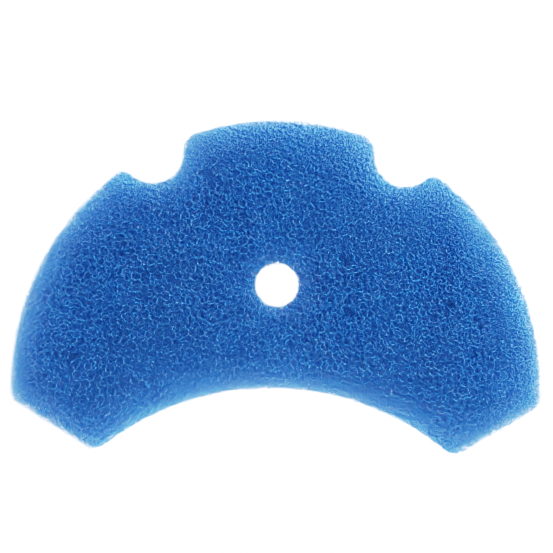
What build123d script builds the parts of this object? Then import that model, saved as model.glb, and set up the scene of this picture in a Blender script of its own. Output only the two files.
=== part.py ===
"""Sponge filter: one die-cut pad of coarse open-cell foam, shaped as a crescent.

Millimetres and degrees. The pad lies flat on its underside. The origin is on the axis of the tube
hole, at the underside. +Z points up through the pad, +X along its length and +Y from the concave
edge towards the crown.
"""

from build123d import *
from math import radians, tan
import os

# Driving dimensions
THICKNESS = 30.0
RIM_RADIUS = 150.0  # the convex outer edge is one circle from tip to tip
HOLE_RADIUS = 12.5
HOLE_ABOVE_RIM_CENTRE = 57.0
SADDLE_RADIUS = 156.0  # the concave edge, which goes against a round housing
SADDLE_TOP_DROP = 1.5  # the concave edge's highest point, below the rim circle's centre
TIP_CUT_SLOPE = 31.4  # each tip is trimmed by a straight cut, which falls towards the middle
TIP_CUTS_MEET = 101.0  # where the lines of the two cuts would meet, below the rim circle's centre
NOTCH_RADIUS = 18.0
NOTCH_ANGLE = 28.75  # each notch is centred on the rim circle, this far round from the crown
EAR_FILLET = 11.0  # where a notch meets the crown
SHOULDER_FILLET = 6.0  # where a notch meets the rest of the rim
OUTER_TIP_FILLET = 8.0
INNER_TIP_FILLET = 8.5

# Worked out from those
rim_centre = (0, -HOLE_ABOVE_RIM_CENTRE)
saddle_centre = (0, -HOLE_ABOVE_RIM_CENTRE - SADDLE_TOP_DROP - SADDLE_RADIUS)
tip_cuts_meet_y = -HOLE_ABOVE_RIM_CENTRE - TIP_CUTS_MEET
trim_reach = 1.2 * RIM_RADIUS  # past the rim on every side
trim_corner_y = tip_cuts_meet_y + trim_reach * tan(radians(TIP_CUT_SLOPE))

with BuildPart() as foam_pad:
    with BuildSketch(Plane.XY) as outline:
        # A crescent: the rim circle without the saddle circle
        with Locations(rim_centre):
            Circle(RIM_RADIUS)
        with Locations(saddle_centre):
            Circle(SADDLE_RADIUS, mode=Mode.SUBTRACT)

        # The straight cuts across its two tips, as the two lower sides of a large trimming shape
        with BuildLine():
            Polyline(
                (0, tip_cuts_meet_y),
                (trim_reach, trim_corner_y),
                (trim_reach, trim_reach),
                (-trim_reach, trim_reach),
                (-trim_reach, trim_corner_y),
                close=True,
            )
        make_face(mode=Mode.INTERSECT)

        # The two half-round notches, one each side of the crown
        with Locations(rim_centre):
            with PolarLocations(RIM_RADIUS, 2, 90 - NOTCH_ANGLE, 2 * NOTCH_ANGLE, endpoint=True):
                Circle(NOTCH_RADIUS, mode=Mode.SUBTRACT)

        # The corners come in mirrored pairs. Rounding a pair leaves the lower pairs as they were.
        for rank, radius in (
            (3, EAR_FILLET),
            (2, SHOULDER_FILLET),
            (1, OUTER_TIP_FILLET),
            (0, INNER_TIP_FILLET),
        ):
            pairs_from_lowest = outline.vertices().group_by(Axis.Y)
            fillet(pairs_from_lowest[rank], radius)
    extrude(amount=THICKNESS)

    # The hole for the riser tube
    Hole(HOLE_RADIUS)

foam_pad.part.label = "foam_pad"

os.makedirs("parts", exist_ok=True)
export_step(foam_pad.part, "parts/foam_pad.step")
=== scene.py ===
"""Sponge filter: the look of a crescent-shaped pad of coarse, reticulated (open-cell) foam.

The foam is built as what it is. Uneven cells of about one size fill the pad, and what is left of
the foam is the struts along their edges: thin three-sided bars that meet by fours at junctions. The
pad's faces cut through them as the knife did. Metres, in the frame of the CAD model.
"""

import itertools
import math

import bpy
import numpy as np
from mathutils import Matrix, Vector
from mathutils.kdtree import KDTree


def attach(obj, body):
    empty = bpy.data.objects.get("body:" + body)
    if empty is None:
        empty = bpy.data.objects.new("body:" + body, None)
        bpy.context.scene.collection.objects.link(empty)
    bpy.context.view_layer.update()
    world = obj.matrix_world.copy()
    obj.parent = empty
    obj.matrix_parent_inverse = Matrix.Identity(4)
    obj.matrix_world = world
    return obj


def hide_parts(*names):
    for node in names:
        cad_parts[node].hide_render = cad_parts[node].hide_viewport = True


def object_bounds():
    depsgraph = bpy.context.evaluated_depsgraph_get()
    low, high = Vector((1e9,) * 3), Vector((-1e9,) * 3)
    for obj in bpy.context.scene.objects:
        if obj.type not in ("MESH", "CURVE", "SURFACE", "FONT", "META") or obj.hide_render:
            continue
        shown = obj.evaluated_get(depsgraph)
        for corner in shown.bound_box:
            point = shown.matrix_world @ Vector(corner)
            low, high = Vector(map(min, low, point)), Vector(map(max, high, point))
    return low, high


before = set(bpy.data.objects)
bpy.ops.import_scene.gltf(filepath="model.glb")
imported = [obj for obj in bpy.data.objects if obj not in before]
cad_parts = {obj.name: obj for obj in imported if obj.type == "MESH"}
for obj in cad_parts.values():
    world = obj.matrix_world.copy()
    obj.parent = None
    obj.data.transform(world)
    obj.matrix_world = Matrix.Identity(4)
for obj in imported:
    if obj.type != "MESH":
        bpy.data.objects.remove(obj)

cad_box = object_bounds()

PAD = "foam_pad"

# The foam's cells and struts
CELL = 0.0039  # the side of a cube with a cell's volume
JITTER = 0.13 * CELL  # how far a cell's centre strays from the even packing, on each axis
WARPS = 9  # waves that bend the packing, so that its rows don't show
WARP_REACH = 0.11 * CELL
WARP_LENGTH = (5 * CELL, 11 * CELL)
PACKING_TURN = (0.785, 0.615, 0.23)  # about X, Y and Z, so that the packing stands on a corner
PAST_PAD = 2.2 * CELL  # how far outside the pad there are still cells
NEIGHBOURS = 24  # the nearest cells that may touch a cell
SLIGHT = 1e-6  # in cells: planes that miss each other by less than this meet
RELAX_ROUNDS = 4  # how often each junction moves halfway to the middle of its neighbours
CORNER = 0.00030  # from a junction to each corner of the struts that meet there
JUST_CLEAR = 1.001  # how far from the surface a junction has to be, in CORNERs
TORN = 0.0006  # junctions up to this far inside the surface may be missing
OVERHANG = (-0.0007, 0.0011)  # how far cut struts stop short of the walls or stick out of them
BLOCKS = 14  # slices of the pad along X, so that no mesh gets too large

# A grid in plan that holds the distance from the pad's walls
FIELD_STEP = 0.001
FIELD_MARGIN = 14  # steps past the pad on each side
FIELD_LOW = np.array(cad_box[0])[:2] - FIELD_MARGIN * FIELD_STEP

# The foam's surface
DEEP_BLUE = (0.008, 0.182, 0.445)
LIGHT_BLUE = (0.011, 0.208, 0.505)
DEEP_BELOW, LIGHT_ABOVE = 0.35, 0.65  # where in the patches' noise the two blues are pure
PATCHES = 60.0  # blotches of colour about 15 mm across
PATCH_DETAIL = 3.0
SKIN = 2500.0  # grain about 0.4 mm across on the struts
SKIN_DETAIL = 2.0
SKIN_RELIEF = 0.00005
SKIN_STRENGTH = 0.25
GLOSSIEST, DULLEST = 0.24, 0.42  # roughness
SHEEN = 0.4  # how much of the light is mirrored
GLOW_DEPTH = 0.0001  # how deep light spreads in a strut

# The studio
FLOOR_SIDE = 6.0
FLOOR_DROP = 0.0002  # under the pad
FLOOR_GLOW = 3.2  # what it lights the foam with
FLOOR_GREYS = (0.28, 0.3)
FLOOR_GREY_PLACES = (0.3, 0.7)  # where in the grain's noise the two greys are pure
FLOOR_GRAIN = 60.0
FLOOR_ROUGHNESS = 0.8
WHITE = 1.0  # how bright the floor and sky look to the camera
# A sheet of painted shade under the pad, where the floor lies in the foam's shade
SHADE_SHEET_DROP = 0.0001  # under the pad
SHADE_SHEET_INSET = 0.0012  # from the pad's outline
PAINTED_SHADE_BLUE = (0.03, 0.2, 0.5)  # painted shade: a blue near the foam's, standing for the shaded floor under the pad, so that no bright floor is seen through it
SHADE_SHEET_ROUGHNESS = 0.9
SKY_EVEN = 0.15  # from every side
SKY_LOW = 7.6  # what is added at the horizon
SKY_FALL = 4.0  # how fast that fades with height
SKY_SIDE = (0.7, 0.3)  # how much stronger it is from the right and from the far side
KEY_PLACE = (0.45, 0.30, 0.45)
KEY_SIDE = 0.25
KEY_WATTS = 1.7
CAMERA_HEIGHT = 1.5  # above the pad's top face
VIEW_WIDTH = 1.040  # the width seen at the top face, in lengths of the pad
VIEW_SHIFT = (-0.0003, 0.0053)  # what the view is centred on, from the middle of the pad
CAMERA_ROLL = math.radians(0.91)
PIXEL_FILTER = 0.5
BOUNCES, DULL_BOUNCES = 16, 14  # light has to find its way out from deep in the foam

# The tone curves: green and blue first go through their own, then all colours through one
FILM_LIGHTS = (0.03, 0.07, 0.12, 0.2, 0.3, 0.45, 0.65, 0.85)  # where the curves have points
FILM = 1.7  # how far the curve for all colours bends
FILM_TOE = 1.3  # how strongly green and blue are held back in the dark tones
# How far each of them bends, where it would end, and from where it goes straight to white
GREEN_FILM = (1.4, 1.0, 0.2)
BLUE_FILM = (5.3, 0.69, 0.45)

ON_FACE = 1e-6  # nearer than this is on it

SEED = 814
rng = np.random.default_rng(SEED)


# ---------------------------------------------------------------- the pad's surface


def wall_field(node):
    """How far a square grid's points in plan lie from the CAD node's walls, negative inside."""
    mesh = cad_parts[node].data
    starts, ends, normals = [], [], []
    for face in mesh.polygons:
        corners = [mesh.vertices[v].co for v in face.vertices]
        foot = [corner for corner in corners if corner.z < cad_box[0][2] + ON_FACE]
        if abs(face.normal.z) < 0.5 and len(foot) == 2:
            starts.append(foot[0][:2])
            ends.append(foot[1][:2])
            normals.append(face.normal[:2])
    starts, ends, normals = np.array(starts), np.array(ends), np.array(normals)
    along = ends - starts
    extent = (np.array(cad_box[1]) - cad_box[0])[:2]
    rows, columns = (np.ceil(extent / FIELD_STEP) + 2 * FIELD_MARGIN).astype(int)
    field = np.empty((rows, columns))
    for row in range(rows):
        points = FIELD_LOW + FIELD_STEP * np.column_stack([np.full(columns, row), np.arange(columns)])
        off = points[:, None] - starts
        off -= np.clip((off * along).sum(2) / (along**2).sum(1), 0, 1)[..., None] * along
        nearest = (off**2).sum(2).argmin(1)
        off = off[np.arange(columns), nearest]
        field[row] = np.sign((off * normals[nearest]).sum(1)) * np.linalg.norm(off, axis=1)
    return field


def outside_walls(points):
    """The distance of each point from the pad's walls, read from the grid."""
    place = (points[:, :2] - FIELD_LOW) / FIELD_STEP
    cell = np.clip(place.astype(int), 0, np.array(WALL_FIELD.shape) - 2)
    u, v = np.clip(place - cell, 0, 1).T
    i, j = cell.T
    near = WALL_FIELD[i, j] * (1 - v) + WALL_FIELD[i, j + 1] * v
    far = WALL_FIELD[i + 1, j] * (1 - v) + WALL_FIELD[i + 1, j + 1] * v
    return near * (1 - u) + far * u


def outside_pad(points, overhang=0.0):
    """Each point's distance from the pad's surface, negative inside, with the walls moved out."""
    z = points[:, 2]
    past_faces = np.maximum(z - cad_box[1][2], cad_box[0][2] - z)
    return np.maximum(past_faces, outside_walls(points) - overhang)


def slope_of_pad(points, step=1e-4):
    """The direction in which each point would leave the pad soonest."""
    slope = np.empty_like(points)
    for axis in range(3):
        shift = np.zeros(3)
        shift[axis] = step
        slope[:, axis] = outside_pad(points + shift) - outside_pad(points - shift)
    return slope / np.maximum(np.linalg.norm(slope, axis=1, keepdims=True), 1e-12)


# ---------------------------------------------------------------- the foam's cells


def cell_centres():
    """Cell centres in and around the pad: an even packing of cells, turned, bent and jittered."""
    unit = 2 * CELL  # a cube of the packing holds 8 cells
    in_unit = np.array(
        [(0, 0, 0), (2, 2, 2), (1, 2, 0), (3, 2, 0), (0, 1, 2), (0, 3, 2), (2, 0, 1), (2, 0, 3)]
    ) / 4
    low, high = np.array(cad_box[0]), np.array(cad_box[1])
    middle = (low + high) / 2
    turn = np.eye(3)
    for axis, angle in zip("XYZ", PACKING_TURN):
        turn = np.array(Matrix.Rotation(angle, 3, axis)) @ turn
    count = int(np.linalg.norm(high - low) / 2 / unit) + 3
    steps = np.arange(-count, count + 1)
    cubes = np.stack(np.meshgrid(steps, steps, steps, indexing="ij"), axis=-1).reshape(-1, 3)
    corner = cubes @ turn.T * unit + middle
    cubes = cubes[((corner > low - 2 * unit) & (corner < high + 2 * unit)).all(1)]
    centres = (cubes[:, None] + in_unit).reshape(-1, 3) @ turn.T * unit + middle

    bend = np.zeros_like(centres)
    for _ in range(WARPS):
        wave = rng.normal(size=3)
        wave *= math.tau / rng.uniform(*WARP_LENGTH) / np.linalg.norm(wave)
        push = rng.normal(size=3)
        push *= WARP_REACH / np.linalg.norm(push)
        bend += np.sin(centres @ wave + rng.uniform(0, math.tau))[:, None] * push
    centres = centres + bend + rng.normal(size=centres.shape) * JITTER
    return centres[outside_pad(centres) < PAST_PAD]


def nearest_cells(centres):
    """Each cell's nearest other cells."""
    tree = KDTree(len(centres))
    for i, centre in enumerate(centres):
        tree.insert(centre, i)
    tree.balance()
    return np.array([[hit[1] for hit in tree.find_n(c, NEIGHBOURS + 1)[1:]] for c in centres])


def foam_junctions(centres, chunk=256):
    """The points where four cells meet, and the four cells of each, in rising order.

    Such a point lies as far from four centres and no nearer to any other. From one cell, it is where
    the planes halfway to three neighbours cross, inside all the other planes.
    """
    near = nearest_cells(centres)
    threes = np.array(list(itertools.combinations(range(NEIGHBOURS), 3)))
    a, b, c = threes.T
    found = []
    for first in range(0, len(centres), chunk):
        around = near[first : first + chunk]
        to = (centres[around] - centres[first : first + chunk, None]) / CELL
        half = (to**2).sum(2) / 2
        cross = np.cross(to[:, :, None], to[:, None])
        det = (to[:, a] * cross[:, b, c]).sum(2)
        point = half[:, a, None] * cross[:, b, c]
        point = point + half[:, b, None] * cross[:, c, a]
        point = point + half[:, c, None] * cross[:, a, b]
        close = (np.abs(det) > SLIGHT) & ((point**2).sum(2) < det**2)
        cell, three = np.nonzero(close)
        point = point[cell, three] / det[cell, three, None]
        free = (np.einsum("ij,inj->in", point, to[cell]) <= half[cell] + SLIGHT).all(1)
        cell, three = cell[free], three[free]
        owners = np.column_stack([first + cell, around[cell[:, None], threes[three]]])
        found.append(np.sort(owners, axis=1))
    owners, seen = np.unique(np.concatenate(found), axis=0, return_counts=True)
    owners = owners[seen == 4]
    p = centres[owners]
    rows = 2 * (p[:, 1:] - p[:, :1])
    sums = (p[:, 1:] ** 2).sum(2) - (p[:, :1] ** 2).sum(2)
    return np.linalg.solve(rows, sums[..., None])[..., 0], owners


def foam_struts(owners):
    """The struts: pairs of junctions with three cells in common.

    For each end of each strut: its junction, and which of that junction's four cells it misses.
    """
    count = len(owners)
    cells = np.concatenate([np.delete(owners, left_out, axis=1) for left_out in range(4)])
    junction = np.tile(np.arange(count), 4)
    left_out = np.repeat(np.arange(4), count)
    order = np.lexsort(cells.T)
    cells, junction, left_out = cells[order], junction[order], left_out[order]
    pair = np.nonzero((cells[1:] == cells[:-1]).all(1))[0]
    ends = np.stack([junction[pair], junction[pair + 1]], axis=1)
    outs = np.stack([left_out[pair], left_out[pair + 1]], axis=1)
    return ends, outs


def relax(points, ends):
    """Evens out the struts: each junction goes halfway to the middle of its four neighbours."""
    a, b = ends.T
    joined = np.bincount(ends.ravel(), minlength=len(points))
    for _ in range(RELAX_ROUNDS):
        total = np.stack(
            [
                np.bincount(a, points[b, k], len(points)) + np.bincount(b, points[a, k], len(points))
                for k in range(3)
            ],
            axis=1,
        )
        middle = total / np.maximum(joined, 1)[:, None]
        points = np.where((joined == 4)[:, None], (points + middle) / 2, points)
    return points


def clear_of_surface(points):
    """Moves junctions that the pad's surface would cut in two just off it, so that it cuts only struts."""
    points = points.copy()
    outside = outside_pad(points) > 0
    for _ in range(3):
        distance = outside_pad(points)
        cut = np.where(outside, distance < CORNER, distance > -CORNER)
        target = np.where(outside[cut], CORNER, -CORNER) * JUST_CLEAR
        points[cut] += (target - distance[cut])[:, None] * slope_of_pad(points[cut])
    return points, ~outside


# ---------------------------------------------------------------- the foam's mesh


# A junction's six corners, each named by the two of its four struts that it lies between
PAIRS = list(itertools.combinations(range(4), 2))
PAIR_NUMBER = np.zeros((4, 4), int)
for number, (one, other) in enumerate(PAIRS):
    PAIR_NUMBER[one, other] = PAIR_NUMBER[other, one] = number


def corner_points(points, ends, outs):
    """The six corners of each junction, each between the directions of two of its struts."""
    a, b = ends.T
    along = points[b] - points[a]
    along /= np.maximum(np.linalg.norm(along, axis=1, keepdims=True), 1e-9)
    direction = np.zeros((len(points), 4, 3))
    direction[a, outs[:, 0]] = along
    direction[b, outs[:, 1]] = -along
    between = np.stack([direction[:, i] + direction[:, j] for i, j in PAIRS], axis=1)
    between /= np.maximum(np.linalg.norm(between, axis=2, keepdims=True), 1e-9)
    return points[:, None] + between * CORNER


def strut_corners(outs):
    """For each end of each strut, the three corners that it starts from, in the same order at both ends."""
    kept = np.array([[k for k in range(4) if k != left_out] for left_out in range(4)])
    return PAIR_NUMBER[outs[..., None], kept[outs]]


def surface_crossing(inner, outer, overhang, rounds=16):
    """Where each line from inner to outer leaves the pad and its overhang, or outer if it doesn't."""
    low, high = np.zeros(len(inner)), np.ones(len(inner))
    for _ in range(rounds):
        t = (low + high) / 2
        out = outside_pad(inner + t[:, None] * (outer - inner), overhang) > 0
        high = np.where(out, t, high)
        low = np.where(out, low, t)
    return inner + low[:, None] * (outer - inner)


def mesh_from(name, points, quads, triangles):
    """An object in the scene with a mesh of these faces."""
    mesh = bpy.data.meshes.new(name)
    mesh.vertices.add(len(points))
    mesh.vertices.foreach_set("co", points.astype(np.float32).ravel())
    loops = np.concatenate([quads.ravel(), triangles.ravel()]).astype(np.int32)
    mesh.loops.add(len(loops))
    mesh.loops.foreach_set("vertex_index", loops)
    starts = np.concatenate(
        [np.arange(len(quads)) * 4, len(quads) * 4 + np.arange(len(triangles)) * 3]
    ).astype(np.int32)
    mesh.polygons.add(len(starts))
    mesh.polygons.foreach_set("loop_start", starts)
    mesh.update(calc_edges=True)
    obj = bpy.data.objects.new(name, mesh)
    bpy.context.scene.collection.objects.link(obj)
    return obj


def build_foam():
    """The foam as a row of closed meshes, one for each slice of the pad along X."""
    centres = cell_centres()
    points, owners = foam_junctions(centres)
    ends, outs = foam_struts(owners)
    points = relax(points, ends)
    points, inside = clear_of_surface(points)
    inside &= outside_pad(points) < -rng.uniform(0, TORN, len(points))
    corners = corner_points(points, ends, outs)
    starts = strut_corners(outs)

    # Struts with an end in the pad, turned so that their first end is inside
    turned = ~inside[ends[:, 0]]
    ends[turned] = ends[turned, ::-1]
    starts[turned] = starts[turned, ::-1]
    in_pad = inside[ends[:, 0]]
    ends, starts = ends[in_pad], starts[in_pad]
    whole = inside[ends[:, 1]]

    # Which slice each junction is in
    order = np.sort(points[inside, 0])
    limits = order[(np.arange(1, BLOCKS) * len(order)) // BLOCKS]
    block = np.searchsorted(limits, points[:, 0])

    first = corners[ends[:, 0, None], starts[:, 0]]
    last = corners[ends[:, 1, None], starts[:, 1]]
    same = whole & (block[ends[:, 0]] == block[ends[:, 1]])
    between = whole & ~same
    cut = ~whole
    tips = np.empty_like(first)
    tips[between] = (first[between] + last[between]) / 2
    overhang = np.repeat(rng.uniform(*OVERHANG, cut.sum()), 3)
    tips[cut] = surface_crossing(
        first[cut].reshape(-1, 3), last[cut].reshape(-1, 3), overhang
    ).reshape(-1, 3, 3)

    # The side on which a strut's three corners run anticlockwise, seen from its far end
    spin = np.cross(first[:, 1] - first[:, 0], first[:, 2] - first[:, 0])
    forward = ((last.mean(1) - first.mean(1)) * spin).sum(1) > 0

    made = []
    for number in range(BLOCKS):
        mine = np.nonzero(inside & (block == number))[0]
        place = np.full(len(points), -1)
        place[mine] = np.arange(len(mine)) * 6
        all_points = [corners[mine].reshape(-1, 3)]
        count = len(mine) * 6

        near_ring, far_ring, capped, ring_forward = [], [], [], []
        sel = np.nonzero(same & (block[ends[:, 0]] == number))[0]
        near_ring.append(place[ends[sel, 0]][:, None] + starts[sel, 0])
        far_ring.append(place[ends[sel, 1]][:, None] + starts[sel, 1])
        ring_forward.append(forward[sel])
        capped.append(np.zeros(len(sel), bool))
        for side in (0, 1):
            stub = ((cut & (side == 0)) | between) & (block[ends[:, side]] == number)
            sel = np.nonzero(stub)[0]
            near_ring.append(place[ends[sel, side]][:, None] + starts[sel, side])
            far_ring.append(count + np.arange(len(sel) * 3).reshape(-1, 3))
            all_points.append(tips[sel].reshape(-1, 3))
            count += len(sel) * 3
            ring_forward.append(forward[sel] if side == 0 else ~forward[sel])
            capped.append(np.ones(len(sel), bool))
        near_ring, far_ring = np.concatenate(near_ring), np.concatenate(far_ring)
        ring_forward, capped = np.concatenate(ring_forward), np.concatenate(capped)

        backward = ~ring_forward
        near_ring[backward] = near_ring[backward, ::-1]
        far_ring[backward] = far_ring[backward, ::-1]
        quads = np.concatenate(
            [
                np.stack([near_ring[:, i], near_ring[:, j], far_ring[:, j], far_ring[:, i]], axis=1)
                for i, j in ((0, 1), (1, 2), (2, 0))
            ]
        )
        caps = far_ring[capped]

        # The four closing triangles of each junction, one towards each of its cells
        closing = []
        for cell in range(4):
            trio = [PAIR_NUMBER[i, j] for i, j in PAIRS if cell not in (i, j)]
            tri = corners[mine][:, trio]
            out = np.cross(tri[:, 1] - tri[:, 0], tri[:, 2] - tri[:, 0])
            outward = ((centres[owners[mine, cell]] - points[mine]) * out).sum(1) > 0
            ring = place[mine][:, None] + np.array(trio)
            ring[~outward] = ring[~outward, ::-1]
            closing.append(ring)
        triangles = np.concatenate([caps] + closing)
        name = f"foam_{number + 1:02d}"
        made.append(mesh_from(name, np.concatenate(all_points), quads, triangles))
    return made


# ---------------------------------------------------------------- materials


def plug(tree, socket, value):
    """Puts a value, or a link from another node, on an input."""
    if isinstance(value, bpy.types.NodeSocket):
        tree.links.new(value, socket)
    else:
        socket.default_value = value


def node_tools(tree):
    """Two helpers for a node tree: one makes a node with settings, and one fills its inputs."""

    def make(kind, **settings):
        node = tree.nodes.new("ShaderNode" + kind)
        for name, value in settings.items():
            setattr(node, name, value)
        return node

    def feed(node, **inputs):
        for name, value in inputs.items():
            plug(tree, node.inputs[name.replace("_", " ")], value)
        return node

    return make, feed


def ramp_between(make, feed, fac, low, high):
    """A colour ramp: each of low and high is a place on the ramp and a colour."""
    ramp = make("ValToRGB")
    for element, (place, colour) in zip(ramp.color_ramp.elements, (low, high)):
        element.position = place
        element.color = (*colour, 1)
    feed(ramp, Fac=fac)
    return ramp.outputs["Color"]


def seen_as_white(make, feed, strength):
    """A strength for light, and white for what the camera sees of its source."""
    mix = make("Mix", data_type="FLOAT")
    feed(mix, Factor=make("LightPath").outputs["Is Camera Ray"], A=strength, B=WHITE)
    return mix.outputs["Result"]


def foam_material():
    """Dyed polyurethane: a little translucent, faintly mottled, with an uneven gloss."""
    material = bpy.data.materials.new("foam_strut")
    material.use_nodes = True
    tree = material.node_tree
    make, feed = node_tools(tree)
    shader = tree.nodes["Principled BSDF"]
    place = make("TexCoord").outputs["Object"]
    patches = feed(make("TexNoise"), Vector=place, Scale=PATCHES, Detail=PATCH_DETAIL)
    skin = feed(make("TexNoise"), Vector=place, Scale=SKIN, Detail=SKIN_DETAIL)
    gloss = feed(make("MapRange"), Value=skin.outputs["Fac"], To_Min=GLOSSIEST, To_Max=DULLEST)
    grain = skin.outputs["Fac"]
    bump = feed(make("Bump"), Height=grain, Strength=SKIN_STRENGTH, Distance=SKIN_RELIEF)
    deep, light = (DEEP_BELOW, DEEP_BLUE), (LIGHT_ABOVE, LIGHT_BLUE)
    feed(
        shader,
        Base_Color=ramp_between(make, feed, patches.outputs["Fac"], deep, light),
        Roughness=gloss.outputs["Result"],
        Normal=bump.outputs["Normal"],
        Specular_IOR_Level=SHEEN,
        Subsurface_Weight=1.0,
        Subsurface_Radius=(1, 1, 1),
        Subsurface_Scale=GLOW_DEPTH,
    )
    return material


def floor_material():
    """A light table: it glows on the foam, and the camera sees it as plain white."""
    material = bpy.data.materials.new("pale_floor")
    material.use_nodes = True
    make, feed = node_tools(material.node_tree)
    place = make("TexCoord").outputs["Object"]
    grain = feed(make("TexNoise"), Vector=place, Scale=FLOOR_GRAIN)
    dark, pale = ((at, (grey,) * 3) for at, grey in zip(FLOOR_GREY_PLACES, FLOOR_GREYS))
    feed(
        material.node_tree.nodes["Principled BSDF"],
        Base_Color=ramp_between(make, feed, grain.outputs["Fac"], dark, pale),
        Roughness=FLOOR_ROUGHNESS,
        Specular_IOR_Level=0.0,
        Emission_Color=(1, 1, 1, 1),
        Emission_Strength=seen_as_white(make, feed, FLOOR_GLOW),
    )
    return material


def painted_shade_material():
    """Dull blue card of painted shade, in place of the shaded floor under the foam."""
    material = bpy.data.materials.new("shade_card")
    material.use_nodes = True
    _, feed = node_tools(material.node_tree)
    feed(
        material.node_tree.nodes["Principled BSDF"],
        Base_Color=(*PAINTED_SHADE_BLUE, 1),
        Roughness=SHADE_SHEET_ROUGHNESS,
        Specular_IOR_Level=0.0,
    )
    return material


# ---------------------------------------------------------------- the studio


def painted_shade_sheet(node):
    """A sheet of painted shade under the CAD node, a little smaller than its underside: it stands for the
    floor in the foam's shade.
    """
    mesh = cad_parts[node].data
    bottom = cad_box[0][2]
    low = [vertex.co.z < bottom + ON_FACE for vertex in mesh.vertices]
    faces = [face for face in mesh.polygons if all(low[v] for v in face.vertices)]
    used = sorted({v for face in faces for v in face.vertices})
    number = {v: i for i, v in enumerate(used)}
    points = np.array([mesh.vertices[v].co for v in used])
    points[:, 2] = (bottom + cad_box[1][2]) / 2  # half way up, where the nearest surface is a wall
    points -= SHADE_SHEET_INSET * slope_of_pad(points)
    points[:, 2] = bottom - SHADE_SHEET_DROP
    shade_sheet = bpy.data.meshes.new("shade_sheet")
    shade_sheet.from_pydata(points.tolist(), [], [[number[v] for v in face.vertices] for face in faces])
    obj = bpy.data.objects.new("shade_sheet", shade_sheet)
    bpy.context.scene.collection.objects.link(obj)
    return obj


def soft_sky():
    """White light from all round, strongest from low down, from the right and from the far side."""
    world = bpy.data.worlds.new("studio")
    world.use_nodes = True
    make, feed = node_tools(world.node_tree)

    def reckon(operation, first, second):
        node = make("Math", operation=operation)
        for socket, value in zip(node.inputs, (first, second)):
            plug(world.node_tree, socket, value)
        return node.outputs[0]

    way = feed(make("SeparateXYZ"), Vector=make("TexCoord").outputs["Generated"])
    height = reckon("ABSOLUTE", way.outputs["Z"], 0)
    low = reckon("POWER", reckon("SUBTRACT", 1.0, height), SKY_FALL)
    from_right = reckon("MULTIPLY", way.outputs["X"], SKY_SIDE[0])
    from_far = reckon("MULTIPLY", way.outputs["Y"], SKY_SIDE[1])
    side = reckon("ADD", reckon("ADD", from_right, from_far), 1.0)
    band = reckon("MULTIPLY", reckon("MULTIPLY", low, side), SKY_LOW)
    strength = seen_as_white(make, feed, reckon("ADD", band, SKY_EVEN))
    feed(world.node_tree.nodes["Background"], Color=(1, 1, 1, 1), Strength=strength)
    bpy.context.scene.world = world


def toned(light, bend, top, knee):
    """One colour's own curve: it holds back the dark tones, and runs straight from knee to white."""
    below = min(light, knee)
    held = below**FILM_TOE
    value = top * held * (1 + bend) / (1 + bend * held)
    return value + (1 - value) * (light - below) / (1 - below)


def film_curve():
    """A camera's lift of the dark tones, after a grading of green and blue that suits the photo.

    The grading also raises the contrast of the foam a little.
    """
    view = bpy.context.scene.view_settings
    view.view_transform = "Standard"
    view.use_curve_mapping = True
    view.curve_mapping.extend = "HORIZONTAL"
    _, green, blue, all_colours = view.curve_mapping.curves
    for light in FILM_LIGHTS:
        all_colours.points.new(light, light * (1 + FILM) / (1 + FILM * light))
        green.points.new(light, toned(light, *GREEN_FILM))
        blue.points.new(light, toned(light, *BLUE_FILM))
    view.curve_mapping.update()


# ---------------------------------------------------------------- the scene

WALL_FIELD = wall_field(PAD)
foam = build_foam()
blue = foam_material()
for piece in foam:
    piece.data.materials.append(blue)
    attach(piece, "root")
    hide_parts(PAD)

low, high = np.array(cad_box)
middle = (low + high) / 2
bpy.ops.mesh.primitive_plane_add(size=FLOOR_SIDE, location=(0, 0, low[2] - FLOOR_DROP))
floor = bpy.context.object
floor.name = "floor"
floor.data.materials.append(floor_material())
# A blue sheet of painted shade under the pad, where the floor would lie in the foam's shade
shade_sheet = painted_shade_sheet(PAD)
shade_sheet.data.materials.append(painted_shade_material())

soft_sky()
lamp_data = bpy.data.lights.new("key", "AREA")
lamp_data.size = KEY_SIDE
lamp_data.energy = KEY_WATTS
lamp = bpy.data.objects.new("key", lamp_data)
lamp.location = KEY_PLACE
lamp.rotation_euler = (-Matrix.Translation(KEY_PLACE).translation).to_track_quat("-Z", "Y").to_euler()
bpy.context.scene.collection.objects.link(lamp)

camera_data = bpy.data.cameras.new("camera")
camera_data.lens = camera_data.sensor_width * CAMERA_HEIGHT / (VIEW_WIDTH * (high[0] - low[0]))
camera = bpy.data.objects.new("camera", camera_data)
camera.location = (middle[0] + VIEW_SHIFT[0], middle[1] + VIEW_SHIFT[1], high[2] + CAMERA_HEIGHT)
camera.rotation_euler = (0, 0, CAMERA_ROLL)
bpy.context.scene.collection.objects.link(camera)
bpy.context.scene.camera = camera
film_curve()
bpy.context.scene.cycles.filter_width = PIXEL_FILTER
bpy.context.scene.cycles.max_bounces = BOUNCES
bpy.context.scene.cycles.diffuse_bounces = DULL_BOUNCES
